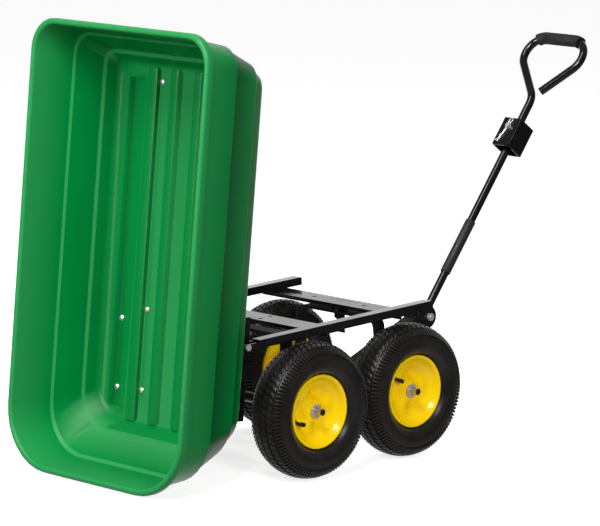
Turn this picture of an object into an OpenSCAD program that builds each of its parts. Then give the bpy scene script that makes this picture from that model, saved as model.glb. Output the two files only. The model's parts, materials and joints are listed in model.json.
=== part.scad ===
// Tipping garden dump cart: a moulded tub that tips back over the rear axle of a steel
// chassis, four pneumatic wheels, a steered front axle and a pull handle with a tow receiver.
// The cart stands on Z = 0 with the handle towards +X. The tub is shown tipped.

/* [Wheels] */
// Outside diameter of each tyre
tyre_d = 330; // [310:1:340]
// Width of each tyre
tyre_w = 100; // [90:1:106]
// Thickness of the tyre's casing
tyre_wall = 8; // [6:0.5:10]
// Width of the grooves round the tread
groove_w = 6; // [4:0.5:8]
// Depth of the grooves round the tread
groove_deep = 5; // [3:0.5:6]
// Diameter over the rim's flanges
rim_d = 177; // [170:1:184]
// Width over the rim's flanges
rim_w = 70; // [66:1:74]
// Thickness of the rim's sheet steel
rim_sheet = 3; // [2:0.5:4]
// Depth of the rim's well below its bead seats
rim_well = 7; // [5:0.5:9]
// Length of the hub on the outboard side of the wheel's middle
hub_out = 19; // [15:1:22]
// Length of the hub on the inboard side of the wheel's middle
hub_in = 42; // [36:1:46]
// Diameter of the spindles that carry the wheels
spindle_d = 16; // [12:0.5:18]
// Outside diameter of the hub bushes
bush_d = 25; // [22:0.5:27]
// Diameter of a valve stem
valve_d = 9; // [7:0.5:11]
// Length of a valve stem
valve_l = 26; // [20:1:34]

/* [Axles] */
// Distance between the front and rear axles
wheelbase = 364; // [360:1:420]
// Distance between the middles of the rear tyres
rear_track = 532; // [526:1:570]
// Distance between the middles of the front tyres
front_track = 448; // [440:1:452]
// Diameter of the axle bars between the wheels
axle_d = 25; // [22:0.5:30]
// Thickness of the axle washers
axle_washer_t = 2.5; // [2:0.5:4]
// Outside diameter of the axle washers
axle_washer_d = 34; // [28:1:40]
// How far a spindle reaches past its washer
spindle_past = 21; // [16:1:26]
// Diameter of the cotter pins
cotter_d = 4; // [3:0.5:5]

/* [Chassis] */
// Height from the rear axle up to the top of the rails
rear_drop = 189.5; // [186:0.5:210]
// Rake of the rails, nose up
rake = 3.5; // [0:0.5:4]
// Width over the two rails
rails_over = 492; // [480:1:500]
// Width of a rail
rail_w = 27; // [24:1:32]
// Depth of a rail
rail_h = 20; // [18:1:22]
// Thickness of the rails' steel
rail_wall = 3; // [2:0.5:4]
// Reach of the rails in front of the rear axle
rail_front = 445; // [430:1:480]
// Radius of each rail's rear end round its hinge bolt
rail_tail = 8.5; // [8:0.1:8.8]
// Length of the rail's slotted rear end in front of its hinge bolt
rail_slot = 40; // [36:1:60]
// Width of the cross-members
cross_w = 62; // [56:1:70]
// Depth of the cross-members
cross_h = 10; // [8:1:12]
// Thickness of the cross-members' steel
cross_wall = 3; // [2:0.5:4]
// Distance of the rear cross-member in front of the rear axle
rear_cross_x = 112; // [80:1:160]
// Spacing of the two accessory holes in the front cross-member
accessory_gap = 176; // [120:1:200]
// Diameter of the accessory holes
accessory_d = 9; // [6:0.5:11]
// Spacing of the two holes in the middle of the rear cross-member
strap_gap = 34; // [24:1:40]
// Room between a rear tyre and the middle of its axle leg
rear_leg_room = 26; // [22:1:34]
// Width of the axle legs
leg_w = 36; // [34:1:44]
// Thickness of the axle legs
leg_t = 6; // [5:0.5:8]

/* [Steering] */
// Room between a front tyre and the middle of its axle leg
front_leg_room = 24; // [20:1:30]
// How far each front axle leg leans in from its foot to its top
front_leg_lean = 15; // [0:1:24]
// Room under the front cross-member for the latch's hook
hook_room = 12; // [11:0.5:16]
// Radius of the bends at the top of the front legs
front_leg_bend = 24; // [18:1:30]
// Diameter of the kingpin
kingpin_d = 16; // [14:0.5:20]
// Distance of the handle's pivot in front of the front axle
pivot_ahead = 296; // [280:1:330]
// Depth of the handle's pivot below the top of the rails
pivot_drop = 107; // [100:1:120]
// Width over the clevis ears
clevis_w = 44; // [42:1:50]
// Thickness of the clevis
clevis_t = 4; // [3:0.5:5]
// Height of the clevis ears
clevis_h = 58; // [54:1:64]
// Length of the clevis ears behind the pivot
clevis_back = 45; // [42:1:60]
// Width of the tongue tube
tongue_w = 40; // [34:1:42]
// Depth of the tongue tube
tongue_h = 25; // [22:1:30]
// Wall of the tongue tube
tongue_wall = 3; // [2:0.5:4]

/* [Handle] */
// Pitch of the handle above level
handle_pitch = 54; // [45:0.1:70]
// Diameter of the handle's bar
bar_d = 21.5; // [18:0.5:23]
// Wall of the handle's tube
bar_wall = 2.5; // [2:0.5:4]
// Diameter of the bolts in the handle pivot and the tub hinges
pivot_d = 12; // [10:0.5:14]
// Distance from the pivot to the middle of the grip
grip_reach = 837; // [800:1:880]
// Length of the loop from its root to the middle of the grip
loop_l = 178; // [172:1:196]
// Angle that the loop opens to each side
loop_angle = 42; // [36:1:46]
// Radius of the bends at the top of the loop
loop_bend = 50; // [46:1:56]
// Radius of the bend below the loop
loop_neck = 60; // [40:1:70]
// Gap left between the loop's free end and its root
loop_gap = 26; // [22:1:40]
// Outside diameter of the grip
grip_d = 32; // [28:1:36]
// Distance from the pivot to the bar's sleeve
sleeve_from = 128; // [100:1:160]
// Length of the bar's sleeve
sleeve_l = 154; // [120:1:180]
// Outside diameter of the bar's sleeve
sleeve_d = 26.5; // [24:0.5:30]
// Distance from the foot of the tow receiver to the root of the loop
receiver_below = 163; // [150:1:175]
// Length of the tow receiver
receiver_l = 82; // [76:1:100]
// Width of the tow receiver
receiver_w = 58; // [50:1:62]
// Height of the tow receiver
receiver_h = 58; // [50:1:62]
// Wall of the tow receiver
receiver_wall = 4; // [3:0.5:5]
// Diameter of the tow pin
tow_pin_d = 12; // [10:0.5:14]
// Share of the way up the receiver to the tow pin
tow_pin_share = 0.68; // [0.6:0.01:0.7]
// Diameter of the clip's wire
clip_d = 3.5; // [3:0.5:4]

/* [Tub] */
// Angle that the tub is tipped back from the rails
tip = 82; // [0:1:82]
// Length of the tub's rim behind the hinge
tub_rear = 349; // [340:1:350]
// Length of the tub's rim in front of the hinge
tub_front = 727; // [700:1:760]
// Width over the tub's rim
tub_w = 626; // [610:1:650]
// Depth of the tub over its floor
tub_deep = 240; // [234:1:260]
// Depth of the upper ledge below the rim
ledge_1 = 118; // [110:1:126]
// Depth of the lower ledge below the rim
ledge_2 = 199; // [195:1:202]
// Wall of the tub
tub_wall = 5; // [4:0.5:6]
// Thickness of the tub's floor
floor_t = 8; // [6:0.5:9]
// Width of the rolled lip
lip_w = 20; // [16:1:24]
// Depth of the rolled lip
lip_h = 20; // [16:1:26]
// Spacing of the ribs along the floor
rib_pitch = 92; // [86:1:94]
// Height of the floor ribs
rib_h = 10; // [6:1:12]
// Width of a floor rib at its foot
rib_w = 46; // [40:1:50]
// Distance from the middle to each floor channel
channel_y = 192; // [188:1:194]
// Depth of the floor channels
channel_deep = 10; // [8:1:12]
// Width of a floor channel at its mouth
channel_w = 48; // [46:1:50]

/* [Tub hinge] */
// Distance of the hinge behind the rear axle
hinge_back = 175; // [170:1:185]
// Depth of the hinge below the top of the rails
hinge_drop = 11; // [10:0.5:12]
// Length of the hinge angle in front of the hinge
angle_front = 67; // [50:1:80]
// Length of the hinge angle behind the hinge
angle_rear = 180; // [165:1:200]
// Depth of the hinge angle below the hinge
angle_deep = 29; // [20:1:34]
// Width of the hinge angle under the tub
angle_w = 40; // [36:1:44]
// Thickness of the hinge angle
angle_t = 4; // [3:0.5:5]
// Thickness of the plate under the floor
plate_t = 3; // [2:0.5:4]
// How far the plate stops short of the ends of the hinge angles
plate_in = 12; // [8:1:16]
// Diameter of the tub bolts
bolt_d = 8; // [6:0.5:9]

/* [Latch] */
// Distance of the latch pivot in front of the hinge
latch_x = 592; // [588:1:600]
// Width over the latch bracket's cheeks
latch_w = 44; // [36:1:54]
// Thickness of the latch bracket
latch_t = 3; // [2:0.5:4]
// Diameter of the latch pin
latch_pin_d = 8; // [6:0.5:10]
// Angle that the latch lever is swung open
latch_open = 24; // [20:1:28]
// Reach of the latch lever in front of its pivot
lever_l = 98; // [70:1:110]
// Thickness of the latch lever
lever_t = 5; // [4:0.5:6]

/* [Hidden] */

$fn = 48;
left = 1;
right = -1;
// Radial clearance of a pin or shaft that turns
run = 0.05;
// Clearance between pieces that are welded, pressed or bolted together
seat = 0.02;
// Clearance between pieces that move past each other
gap = 0.5;
over = 1;
// Distance of the origin in front of the rear axle: the middle of the cart's length
origin_ahead = 343;

frame_reach = wheelbase * cos(rake);
front_drop = rear_drop + frame_reach * tan(rake);
rail_out = rails_over / 2;
rail_in = rail_out - rail_w;
cross_top = -rail_h - seat;
strap_top = cross_top - cross_h - hook_room - gap;
rear_leg_y = rear_track / 2 - tyre_w / 2 - rear_leg_room;
front_leg_foot = front_track - tyre_w - 2 * front_leg_room;
front_leg_top = front_leg_foot - 2 * front_leg_lean;
loop_start = grip_reach - loop_l;
receiver_from = loop_start - receiver_below;
pivot_x = frame_reach + pivot_ahead;
bearing_end = hub_out + 2;
washer_at = bearing_end + 0.4;
spindle_end = washer_at + axle_washer_t + spindle_past;
shoulder = hub_in + 2.4;
tub_floor = hinge_drop + gap;
rim_z = tub_floor + tub_deep;
keel_z = tub_floor - channel_deep;
angle_y = rail_in - gap;
latch_z = tub_floor - 18;

// Points of a polyline with each inner corner rounded to radius r
function unit(v) = v / norm(v);
function side(v) = [-v[1], v[0]];
function corner(a, b, c, r, n) =
  let (u = unit(a - b), v = unit(c - b), theta = acos(u * v),
       centre = b + unit(u + v) * r / sin(theta / 2),
       s = b + u * r / tan(theta / 2) - centre,
       e = b + v * r / tan(theta / 2) - centre,
       sweep = 180 - theta)
  [for (k = [0:n]) centre + (s * sin((1 - k / n) * sweep) + e * sin(k / n * sweep)) / sin(sweep)];
function rounded(path, r, n = 6) = concat(
  [path[0]],
  [for (i = [1:len(path) - 2]) each corner(path[i - 1], path[i], path[i + 1], r, n)],
  [path[len(path) - 1]]);
function normal_at(p, i) =
  let (a = i > 0 ? side(unit(p[i] - p[i - 1])) : side(unit(p[1] - p[0])),
       b = i < len(p) - 1 ? side(unit(p[i + 1] - p[i])) : a,
       m = unit(a + b))
  m / (m * a);
// Outline of a sheet of thickness t bent along a path
function sheet(p, t) = concat(
  [for (i = [0:len(p) - 1]) p[i] + normal_at(p, i) * t / 2],
  [for (i = [len(p) - 1:-1:0]) p[i] - normal_at(p, i) * t / 2]);

// Frame of the chassis: the rear axle's plane at X = 0, the top of the rails at Z = 0
module in_chassis() {
  translate([-origin_ahead, 0, tyre_d / 2]) rotate([0, -rake, 0]) translate([0, 0, rear_drop])
    children();
}
// Frame of the tub: its hinge at the origin, lying level along X
module in_tub() {
  in_chassis() translate([-hinge_back, 0, -hinge_drop]) rotate([0, -tip, 0]) children();
}
// Frame of the handle: its pivot at the origin, its bar along X
module in_handle() {
  in_chassis() translate([pivot_x, 0, -pivot_drop]) rotate([0, rake - handle_pitch, 0]) children();
}
// Frame of a wheel: its axle along Z, its outboard side towards +Z
module at_wheel(along, track, hand) {
  in_chassis() translate([along, hand * track / 2, along > 0 ? -front_drop : -rear_drop])
    rotate([0, rake, 0]) rotate([-90 * hand, 0, 0]) children();
}
module along_y(d, l, y = 0) {
  translate([0, y, 0]) rotate([90, 0, 0]) cylinder(d = d, h = l, center = true);
}
module hex(across, h) {
  cylinder(d = across / cos(30), h = h, $fn = 6);
}

// Wheels

// Half width of the tyre at a share of the way out from its widest ring
crown_power = 2.2;
function tyre_section(half, low, high, n = 9) = [
  for (k = [-n:n]) let (t = sin(90 * k / n), w = half * t)
    [low + (high - low) * pow(max(0, 1 - pow(abs(t), crown_power)), 1 / crown_power), w]];
widest_r = rim_d / 2 + 29;
bead_r = rim_d / 2 - 9.5;

module tyre_solid() {
  rotate_extrude($fn = 96) difference() {
    polygon(concat(
      tyre_section(tyre_w / 2, widest_r, tyre_d / 2),
      [[rim_d / 2 + 9, rim_w / 2 + 8], [rim_d / 2 + 3, rim_w / 2 - rim_sheet],
       [bead_r + 3, rim_w / 2 - rim_sheet - 3], [bead_r, rim_w / 2 - rim_sheet - 5],
       [bead_r, rim_sheet + 5 - rim_w / 2], [bead_r + 3, rim_sheet + 3 - rim_w / 2],
       [rim_d / 2 + 3, rim_sheet - rim_w / 2], [rim_d / 2 + 9, -rim_w / 2 - 8]]));
    polygon(concat(
      tyre_section(tyre_w / 2 - tyre_wall, widest_r, tyre_d / 2 - tyre_wall - groove_deep),
      [[bead_r - over, rim_w / 2 - 16], [bead_r - over, 16 - rim_w / 2]]));
    for (k = [-1:1])
      translate([tyre_d / 2 - groove_deep - 2 * abs(k), k * tyre_w / 5 - groove_w / 2])
        square([groove_deep * 3, groove_w]);
  }
}

module rim_solid() {
  bead = bead_r - rim_sheet / 2 - seat;
  half = rim_w / 2;
  barrel = [
    [rim_d / 2, half - 0.5], [rim_d / 2 - 4, half], [bead + 3, half - rim_sheet],
    [bead, half - rim_sheet - 3.5], [bead, 15], [bead - rim_well, 8],
    [bead - rim_well, -8], [bead, -15], [bead, 3.5 + rim_sheet - half],
    [bead + 3, rim_sheet - half], [rim_d / 2 - 4, -half], [rim_d / 2, 0.5 - half]];
  disc = [
    [bead - rim_well, 2], [bead - rim_well - 9, -3], [bead - rim_well - 20, -4],
    [bead_r / 2, 4], [bush_d / 2 + 13, hub_out - 5], [bush_d / 2 + 1.5, hub_out - 4]];
  rotate_extrude($fn = 96) {
    polygon(sheet(barrel, rim_sheet));
    polygon(sheet(disc, rim_sheet));
  }
  rotate_extrude() translate([bush_d / 2 + seat, -hub_in]) square([3.5, hub_in + hub_out]);
}

module bush_solids() {
  for (end = [[hub_out, 1], [-hub_in, -1]])
    translate([0, 0, end[0]]) scale([1, 1, end[1]])
      rotate_extrude() {
        translate([spindle_d / 2 + run, -20]) square([(bush_d - spindle_d) / 2 - run, 22]);
        translate([spindle_d / 2 + run, seat]) square([(bush_d - spindle_d) / 2 + 3, 2 - seat]);
      }
}

module valve_solid(angle) {
  seat_r = bead_r - rim_sheet - rim_well - 3 * seat;
  rotate([0, 0, angle]) translate([seat_r, 0, 10]) rotate([0, -90, 0]) {
    cylinder(d1 = valve_d + 2, d2 = valve_d, h = valve_l * 0.2);
    cylinder(d = valve_d - 1.5, h = valve_l * 0.7);
    translate([0, 0, valve_l * 0.66]) cylinder(d = valve_d, h = valve_l * 0.34);
  }
}

module tyre(along, track, hand) {
  color([0.07, 0.07, 0.07]) at_wheel(along, track, hand) tyre_solid();
}
module rim(along, track, hand) {
  color([0.97, 0.78, 0.05]) at_wheel(along, track, hand) rim_solid();
}
module bushes(along, track, hand) {
  color([0.2, 0.2, 0.2]) at_wheel(along, track, hand) bush_solids();
}
module valve(along, track, hand, angle) {
  color([0.1, 0.1, 0.1]) at_wheel(along, track, hand) valve_solid(angle);
}

// Axles, with their washers and cotter pins

module axle_bar(track) {
  inner = track / 2 - shoulder;
  outer = track / 2 + spindle_end;
  along_y(axle_d, inner * 2);
  difference() {
    along_y(spindle_d, outer * 2);
    for (hand = [left, right])
      translate([0, hand * (track / 2 + washer_at + axle_washer_t + 5), 0])
        cylinder(d = cotter_d + seat * 2, h = axle_d, center = true);
  }
}
module axle_washers(track) {
  for (hand = [left, right])
    translate([0, hand * (track / 2 + washer_at + axle_washer_t / 2), 0]) difference() {
      along_y(axle_washer_d, axle_washer_t);
      along_y(spindle_d + seat * 2, axle_washer_t + over);
    }
}
module axle_cotters(track) {
  for (hand = [left, right])
    translate([0, hand * (track / 2 + washer_at + axle_washer_t + 5), 0]) {
      cylinder(d = cotter_d, h = spindle_d + 12, center = true);
      translate([0, 0, spindle_d / 2 + 6]) along_y(cotter_d * 2.4, cotter_d * 0.9);
    }
}

module rear_axle() {
  color([0.1, 0.1, 0.1]) in_chassis() translate([0, 0, -rear_drop]) axle_bar(rear_track);
}
module rear_washers() {
  color("silver") in_chassis() translate([0, 0, -rear_drop]) axle_washers(rear_track);
}
module rear_cotter_pins() {
  color("silver") in_chassis() translate([0, 0, -rear_drop]) axle_cotters(rear_track);
}
module front_axle() {
  color([0.1, 0.1, 0.1]) in_chassis() translate([frame_reach, 0, -front_drop]) axle_bar(front_track);
}
module front_washers() {
  color("silver") in_chassis() translate([frame_reach, 0, -front_drop]) axle_washers(front_track);
}
module front_cotter_pins() {
  color("silver") in_chassis() translate([frame_reach, 0, -front_drop]) axle_cotters(front_track);
}

// Chassis: two rails of folded channel laid on two cross-members

module rail(hand) {
  rear = -hinge_back - rail_tail;
  color([0.06, 0.06, 0.06]) in_chassis() difference() {
    union() {
      translate([-hinge_back, hand * (rail_out - rail_w / 2) - rail_w / 2, -rail_h])
        cube([rail_front + hinge_back, rail_w, rail_h]);
      translate([-hinge_back, hand * (rail_out - rail_w / 2), -hinge_drop]) along_y(2 * rail_tail, rail_w);
    }
    translate([rear - over, hand * (rail_out - rail_w / 2) - rail_w / 2 + rail_wall, -rail_h - over])
      cube([rail_front - rear - rail_wall + over, rail_w - 2 * rail_wall, rail_h - rail_wall + over]);
    translate([rear - over, hand * (rail_out - rail_w / 2) - rail_w, hinge_drop - rail_h + 4.5])
      cube([rail_tail + rail_slot + over, rail_w * 2, rail_h]);
    translate([-hinge_back, hand * rail_out, -hinge_drop]) along_y(pivot_d + 2 * seat, rail_w * 3);
  }
}
module left_rail() { rail(left); }
module right_rail() { rail(right); }

module cross_member(x, holes) {
  color([0.06, 0.06, 0.06]) in_chassis() difference() {
    translate([x - cross_w / 2, -rail_out, cross_top - cross_h]) cube([cross_w, rail_out * 2, cross_h]);
    translate([x - cross_w / 2 + cross_wall, -rail_out - over, cross_top - cross_h - over])
      cube([cross_w - 2 * cross_wall, rail_out * 2 + 2 * over, cross_h - cross_wall + over]);
    for (hole = holes)
      translate([x + hole[0], hole[1], cross_top - cross_h]) cylinder(d = hole[2], h = cross_h + over);
  }
}
module front_cross_member() {
  cross_member(frame_reach, [
    [0, 0, kingpin_d + 2 * seat],
    [0, accessory_gap / 2, accessory_d],
    [0, -accessory_gap / 2, accessory_d]]);
}
module rear_cross_member() {
  cross_member(rear_cross_x, [[strap_gap / 2, 0, accessory_d], [-strap_gap / 2, 0, accessory_d]]);
}

module rear_axle_beam() {
  color([0.06, 0.06, 0.06]) in_chassis()
    translate([-leg_w / 2, -rail_in + seat, -rail_h]) cube([leg_w, 2 * (rail_in - seat), leg_t]);
}
module rear_leg(hand) {
  color([0.06, 0.06, 0.06]) in_chassis() difference() {
    union() {
      translate([-leg_w / 2, hand * rear_leg_y - leg_t / 2, -rear_drop])
        cube([leg_w, leg_t, rear_drop - rail_h - seat]);
      translate([0, hand * rear_leg_y, -rear_drop]) along_y(leg_w, leg_t);
    }
    translate([0, hand * rear_leg_y, -rear_drop]) along_y(axle_d + 2 * seat, leg_t * 2);
  }
}
module left_rear_leg() { rear_leg(left); }
module right_rear_leg() { rear_leg(right); }

module kingpin() {
  foot = strap_top - leg_t - kingpin_d * 1.6;
  color([0.06, 0.06, 0.06]) in_chassis() translate([frame_reach, 0, foot])
    cylinder(d = kingpin_d, h = cross_top - foot);
}
module hinge_bolts() {
  color("silver") in_chassis() for (hand = [left, right])
    translate([-hinge_back, 0, -hinge_drop]) {
      translate([0, hand * (rail_out + over), 0]) rotate([90 * hand, 0, 0])
        cylinder(d = pivot_d, h = rail_out + over - angle_y + angle_t - 0.2);
      translate([0, hand * (rail_out + seat), 0]) rotate([-90 * hand, 0, 0])
        hex(pivot_d * 1.25, pivot_d * 0.4);
    }
}

// Steered front axle

module front_axle_bracket() {
  path = rounded([
    [-front_leg_foot / 2, -front_drop - leg_w / 2], [-front_leg_top / 2, strap_top - leg_t / 2],
    [front_leg_top / 2, strap_top - leg_t / 2], [front_leg_foot / 2, -front_drop - leg_w / 2]],
    front_leg_bend);
  color([0.06, 0.06, 0.06]) in_chassis() translate([frame_reach, 0, 0]) difference() {
    rotate([90, 0, 90]) linear_extrude(leg_w, center = true) polygon(sheet(path, leg_t));
    translate([0, 0, -front_drop]) along_y(axle_d + 2 * seat, front_leg_foot * 2);
    translate([0, 0, strap_top - leg_t * 2]) cylinder(d = kingpin_d + 2 * run, h = leg_t * 3);
  }
}
module steering_spacer() {
  color([0.06, 0.06, 0.06]) in_chassis() translate([frame_reach, 0, 0])
    translate([0, 0, strap_top + seat]) difference() {
      cylinder(d = kingpin_d + 24, h = cross_top - cross_wall - strap_top - 2 * seat);
      translate([0, 0, -over]) cylinder(d = kingpin_d + 2 * run, h = cross_top - strap_top + over);
    }
}
module kingpin_nut() {
  nut_h = kingpin_d * 0.8;
  color([0.06, 0.06, 0.06]) in_chassis() translate([frame_reach, 0, strap_top - leg_t - gap - nut_h])
    difference() {
      hex(kingpin_d * 1.5, nut_h);
      translate([0, 0, -over]) cylinder(d = kingpin_d + 2 * seat, h = nut_h + 2 * over);
    }
}
module tongue() {
  foot = [frame_reach, -front_drop + 4];
  head = [pivot_x - clevis_back - clevis_t - seat, -pivot_drop - 10];
  run_l = norm(head - foot);
  climb = atan2(head[1] - foot[1], head[0] - foot[0]);
  color([0.06, 0.06, 0.06]) in_chassis() difference() {
    translate([foot[0], 0, foot[1]]) rotate([0, -climb, 0]) difference() {
      translate([0, -tongue_w / 2, -tongue_h / 2]) cube([run_l + tongue_h, tongue_w, tongue_h]);
      translate([-over, tongue_wall - tongue_w / 2, tongue_wall - tongue_h / 2])
        cube([run_l + tongue_h + 2 * over, tongue_w - 2 * tongue_wall, tongue_h - 2 * tongue_wall]);
    }
    translate([head[0], -tongue_w, head[1] - tongue_h * 2]) cube([tongue_h * 3, tongue_w * 2, tongue_h * 4]);
    translate([frame_reach, 0, -front_drop]) along_y(axle_d + 2 * seat, tongue_w * 2);
    translate([frame_reach - axle_d, -tongue_w, -front_drop - tongue_h])
      cube([axle_d, tongue_w * 2, tongue_h * 2]);
  }
}
module clevis() {
  radius = clevis_h / 2;
  color([0.06, 0.06, 0.06]) in_chassis() translate([pivot_x, 0, -pivot_drop]) difference() {
    union() {
      translate([-clevis_back - clevis_t, -clevis_w / 2, -radius])
        cube([clevis_back + clevis_t - 5, clevis_w, clevis_h]);
      translate([-5, 0, 0]) along_y(clevis_h, clevis_w);
    }
    translate([-clevis_back, clevis_t - clevis_w / 2, -clevis_h])
      cube([clevis_back + clevis_h, clevis_w - 2 * clevis_t, clevis_h * 2]);
    along_y(pivot_d + 2 * seat, clevis_w * 2);
  }
}
module clevis_bolt() {
  color("silver") in_chassis() translate([pivot_x, 0, -pivot_drop]) {
    along_y(pivot_d, clevis_w + 20);
    translate([0, -clevis_w / 2 - seat, 0]) rotate([90, 0, 0]) hex(pivot_d * 1.5, pivot_d * 0.6);
    translate([0, clevis_w / 2 + seat, 0]) rotate([-90, 0, 0]) hex(pivot_d * 1.5, pivot_d * 0.7);
  }
}

// Handle

tow_pin_at = receiver_l * tow_pin_share;
bar_end = receiver_from + tow_pin_at - tow_pin_d / 2 - 4;
stem_start = receiver_from + tow_pin_at + tow_pin_d / 2 + 4;
eye_d = pivot_d + 18;

module pull_bar() {
  color([0.05, 0.05, 0.05]) in_handle() difference() {
    union() {
      rotate([0, 90, 0]) cylinder(d = bar_d, h = bar_end);
      along_y(eye_d, clevis_w - 2 * clevis_t - 2 * gap);
    }
    along_y(pivot_d + 2 * run, clevis_w * 2);
    translate([eye_d, 0, 0]) rotate([0, 90, 0]) cylinder(d = bar_d - 2 * bar_wall, h = bar_end);
  }
}
module bar_sleeve() {
  color([0.12, 0.12, 0.12]) in_handle() translate([sleeve_from, 0, 0]) rotate([0, 90, 0]) difference() {
    cylinder(d = sleeve_d, h = sleeve_l);
    translate([0, 0, -over]) cylinder(d = bar_d + 2 * seat, h = sleeve_l + 2 * over);
  }
}
module tow_receiver() {
  inner_w = receiver_w - 2 * receiver_wall;
  inner_h = receiver_h - 2 * receiver_wall;
  web = 6;
  foot_room = 16;
  head_room = 4;
  color([0.04, 0.04, 0.04]) in_handle() translate([receiver_from, 0, 0]) difference() {
    translate([0, -receiver_w / 2, -receiver_h / 2]) cube([receiver_l, receiver_w, receiver_h]);
    for (room = [[-over, foot_room], [foot_room + web, receiver_l - head_room - web],
                 [receiver_l - head_room, receiver_l + over]])
      translate([room[0], -inner_w / 2, -inner_h / 2]) cube([room[1] - room[0], inner_w, inner_h]);
    translate([-over, 0, 0]) rotate([0, 90, 0]) cylinder(d = bar_d + 2 * seat, h = receiver_l + 2 * over);
    translate([tow_pin_at, 0, 0]) cylinder(d = tow_pin_d + 2 * seat, h = receiver_h * 2, center = true);
  }
}
tow_pin_past = 9;
module tow_pin() {
  top = receiver_h / 2 + tow_pin_past;
  color("silver") in_handle() translate([receiver_from + tow_pin_at, 0, 0]) difference() {
    union() {
      translate([0, 0, -receiver_h / 2 - 2]) cylinder(d = tow_pin_d, h = top + receiver_h / 2 + 2);
      translate([0, 0, -receiver_h / 2 - seat - 6]) cylinder(d = tow_pin_d * 1.7, h = 6);
    }
    translate([0, 0, top - 6]) rotate([0, 90, 0]) cylinder(d = clip_d + 2 * seat, h = 40, center = true);
  }
}
module tow_clip() {
  bow = (tow_pin_d + clip_d) / 2 + 0.3;
  level = receiver_h / 2 + tow_pin_past - 6;
  tail = tow_pin_at - bow;
  lap = 0.3;
  color("silver") in_handle() translate([receiver_from + tow_pin_at, 0, level]) {
    translate([-tail - lap, 0, 0]) rotate([0, 90, 0]) cylinder(d = clip_d, h = tail + lap + bow + 6);
    translate([-tail, bow / 2, 0]) bent(clip_d, bow / 2, 90, 270);
    translate([-tail - lap, bow, 0]) rotate([0, 90, 0]) cylinder(d = clip_d, h = tail + 2 * lap);
    bent(clip_d, bow, 40, 90);
  }
}

// The loop is a bar bent in one plane: a neck bend, two straight sides and two grip bends
neck_cut = loop_neck * tan(loop_angle / 2);
bend_x = grip_reach - loop_bend;
bend_y = ((grip_reach - loop_bend - loop_start) * sin(loop_angle) - loop_bend) / cos(loop_angle);
side_l = ((bend_x - loop_start) + bend_y * tan(loop_angle)) * cos(loop_angle);
// A bend is drawn down a little by the bending, so its ends sit inside the straight lengths
drawn = 0.1;
overlap = 1;
module bent(d, radius, from, to) {
  rotate([0, 0, from]) rotate_extrude(angle = to - from, $fn = 96)
    translate([radius, 0]) circle(d = d - drawn);
}
module bar_along(d, from, to, start = overlap, end = overlap) {
  v = to - from;
  translate([from[0], from[1], 0]) rotate([0, 0, atan2(v[1], v[0])]) rotate([0, 90, 0])
    translate([0, 0, -start]) cylinder(d = d, h = norm(v) + start + end);
}
module loop_handle() {
  root = [loop_start, 0];
  heading = [cos(loop_angle), sin(loop_angle)];
  shoulder_l = [bend_x - loop_bend * sin(loop_angle), bend_y + loop_bend * cos(loop_angle)];
  shoulder_r = [shoulder_l[0], -shoulder_l[1]];
  free_end = root + [heading[0], -heading[1]] * loop_gap;
  color([0.05, 0.05, 0.05]) in_handle() {
    bar_along(bar_d, [stem_start, 0], [loop_start - neck_cut, 0], start = 0);
    translate([loop_start - neck_cut, loop_neck, 0]) bent(bar_d, loop_neck, -90, loop_angle - 90);
    bar_along(bar_d, root + heading * neck_cut, shoulder_l);
    translate([bend_x, bend_y, 0]) bent(bar_d, loop_bend, 0, 90 + loop_angle);
    bar_along(bar_d, [grip_reach, bend_y], [grip_reach, -bend_y]);
    translate([bend_x, -bend_y, 0]) bent(bar_d, loop_bend, -90 - loop_angle, 0);
    bar_along(bar_d, shoulder_r, free_end, end = 0);
  }
}
grip_left_turn = 33;
grip_right_turn = 25;
module bent_sleeve(from, to) {
  rotate([0, 0, from]) rotate_extrude(angle = to - from, $fn = 96) translate([loop_bend, 0]) difference() {
    circle(d = grip_d - drawn);
    circle(d = bar_d + 6 * seat);
  }
}
module grip() {
  color([0.17, 0.17, 0.17]) in_handle() {
    translate([grip_reach, 0, 0]) difference() {
      along_y(grip_d, 2 * bend_y);
      along_y(bar_d + 4 * seat, 2 * bend_y + over);
    }
    translate([bend_x, bend_y, 0]) bent_sleeve(-1, grip_left_turn);
    translate([bend_x, -bend_y, 0]) bent_sleeve(-grip_right_turn, 1);
  }
}

// Tub: a loft through rounded rings, from the inner floor up, over the lip and down the outside

// Points of one ring: depth below the rim, insets at the sides, front and rear, corner radii
corner_n = 8;
function turn(c, r, a) = [
  for (k = [0:corner_n]) let (t = a + 90 * k / corner_n) c + r * [cos(t), sin(t)]];
function ring(row) =
  let (y = tub_w / 2 - row[1], f = tub_front - row[2], b = row[3] - tub_rear, rf = row[4], rb = row[5],
       flat = concat(turn([f - rf, y - rf], rf, 0), turn([b + rb, y - rb], rb, 90),
                     turn([b + rb, rb - y], rb, 180), turn([f - rf, rf - y], rf, 270)))
  [for (p = flat) [p[0], p[1], rim_z - row[0]]];
floor_in = tub_deep - floor_t;
// Depth, side inset, front inset, rear inset, front radius, rear radius
inner_rows = [
  [floor_in, 74, 110, 130, 20, 66],
  [floor_in - 8, 63, 92, 117, 28, 76],
  [ledge_2, 57, 77, 99, 32, 84],
  [ledge_2 - 7, 48, 67, 90, 38, 96],
  [ledge_1, 37, 39, 41, 46, 115],
  [ledge_1 - 8, lip_w + 9, lip_w + 10, lip_w + 11, 52, 123],
  [4, lip_w, lip_w, lip_w, 58, 132]];
lip_rows = [
  [0, lip_w - 4, lip_w - 4, lip_w - 4, 62, 136],
  [0, 4, 4, 4, 71, 145],
  [4, 0, 0, 0, 75, 149],
  [lip_h, 0, 0, 0, 75, 149],
  [lip_h, tub_wall, tub_wall, tub_wall, 70, 144],
  [tub_wall + 2, tub_wall, tub_wall, tub_wall, 70, 144],
  [tub_wall + 2, lip_w - tub_wall, lip_w - tub_wall, lip_w - tub_wall, 62, 136]];
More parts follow.
